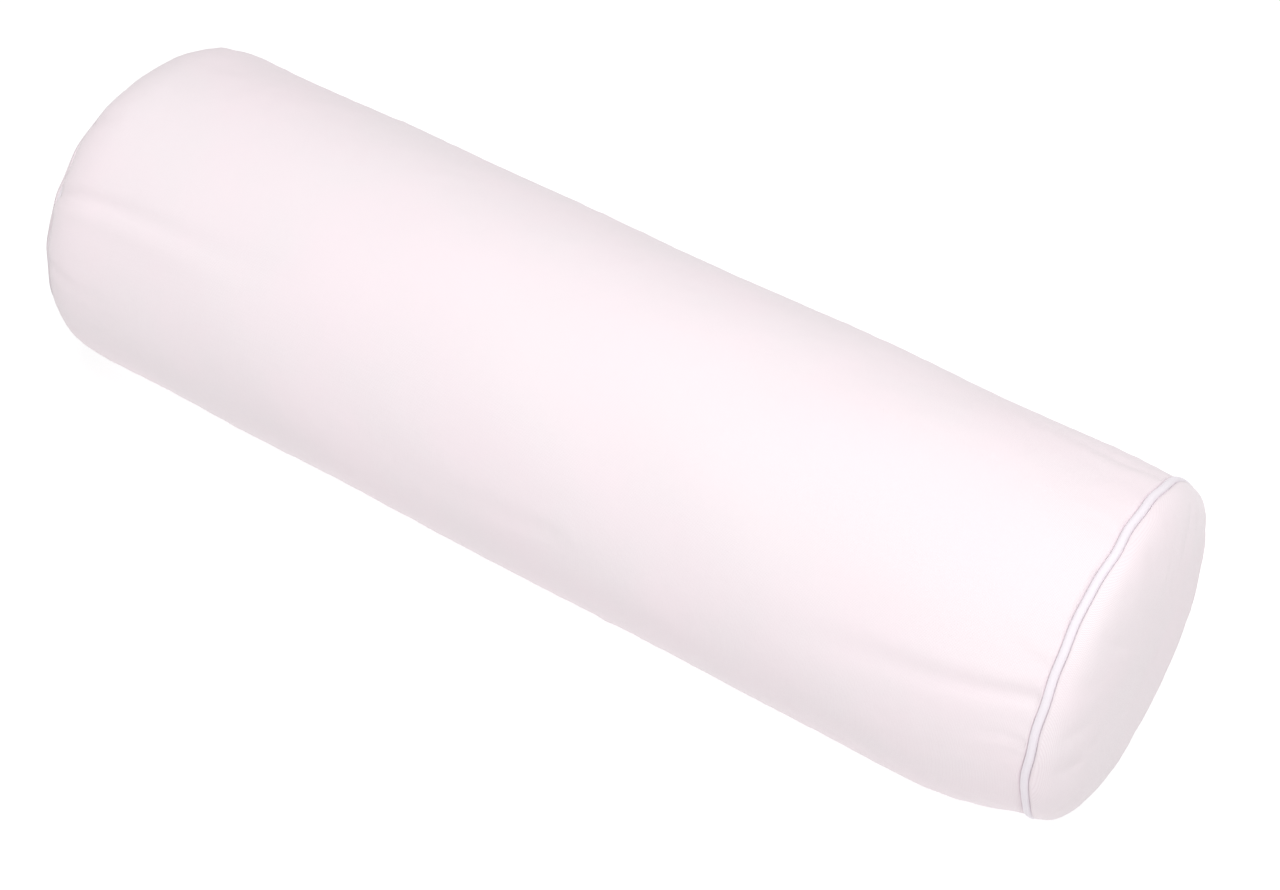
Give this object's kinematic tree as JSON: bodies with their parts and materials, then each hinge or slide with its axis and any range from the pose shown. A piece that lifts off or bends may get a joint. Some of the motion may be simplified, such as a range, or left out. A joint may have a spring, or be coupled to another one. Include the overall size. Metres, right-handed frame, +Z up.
{
  "type": "foam roller",
  "caption": "Soft cylindrical foam roll in a zipped cloth cover with crowned, piped end panels, laid under the neck, knees or back in a massage.",
  "frame": {"origin": "middle of the flat that the roll stands on, at the base of its bounding box", "axes": "+X along the roll to the right-hand end panel, +Z up, the zip on the +Y side"},
  "size_m": [0.6, 0.1791, 0.1751],
  "materials": {
    "core_foam": "matte",
    "cover_cloth": "matte",
    "piping_cloth": "matte",
    "piping_cord_cotton": "matte",
    "zip_tape_cloth": "matte",
    "coil_nylon": "satin",
    "zip_metal": "satin",
    "slider_enamel": "gloss"
  },
  "bodies": {
    "roller": {"foam_core": "core_foam", "cover_body": "cover_cloth", "right_end_panel": "cover_cloth", "left_end_panel": "cover_cloth", "right_piping_tape": "piping_cloth", "left_piping_tape": "piping_cloth", "right_piping_cord": "piping_cord_cotton", "left_piping_cord": "piping_cord_cotton", "zip_tape_upper": "zip_tape_cloth", "zip_tape_lower": "zip_tape_cloth", "zip_coil_upper": "coil_nylon", "zip_coil_lower": "coil_nylon", "zip_top_stop_upper": "zip_metal", "zip_top_stop_lower": "zip_metal", "zip_bottom_stop": "zip_metal"},
    "zip_slider": {"zip_slider_body": "slider_enamel"},
    "zip_pull": {"zip_pull_tab": "slider_enamel"}
  },
  "joints": [
    {"name": "zip_slide", "type": "slide", "parent": "roller", "child": "zip_slider", "axis": [-1, 0, 0], "range_m": [0, 0.416], "deforming": ["zip_coil_upper", "zip_coil_lower"]},
    {"name": "pull_swing", "type": "hinge", "parent": "zip_slider", "child": "zip_pull", "pos_m": [0.208, 0.08837, 0.11191], "axis": [0, 0.2756, -0.9613], "range_deg": [0, 180]}
  ]
}
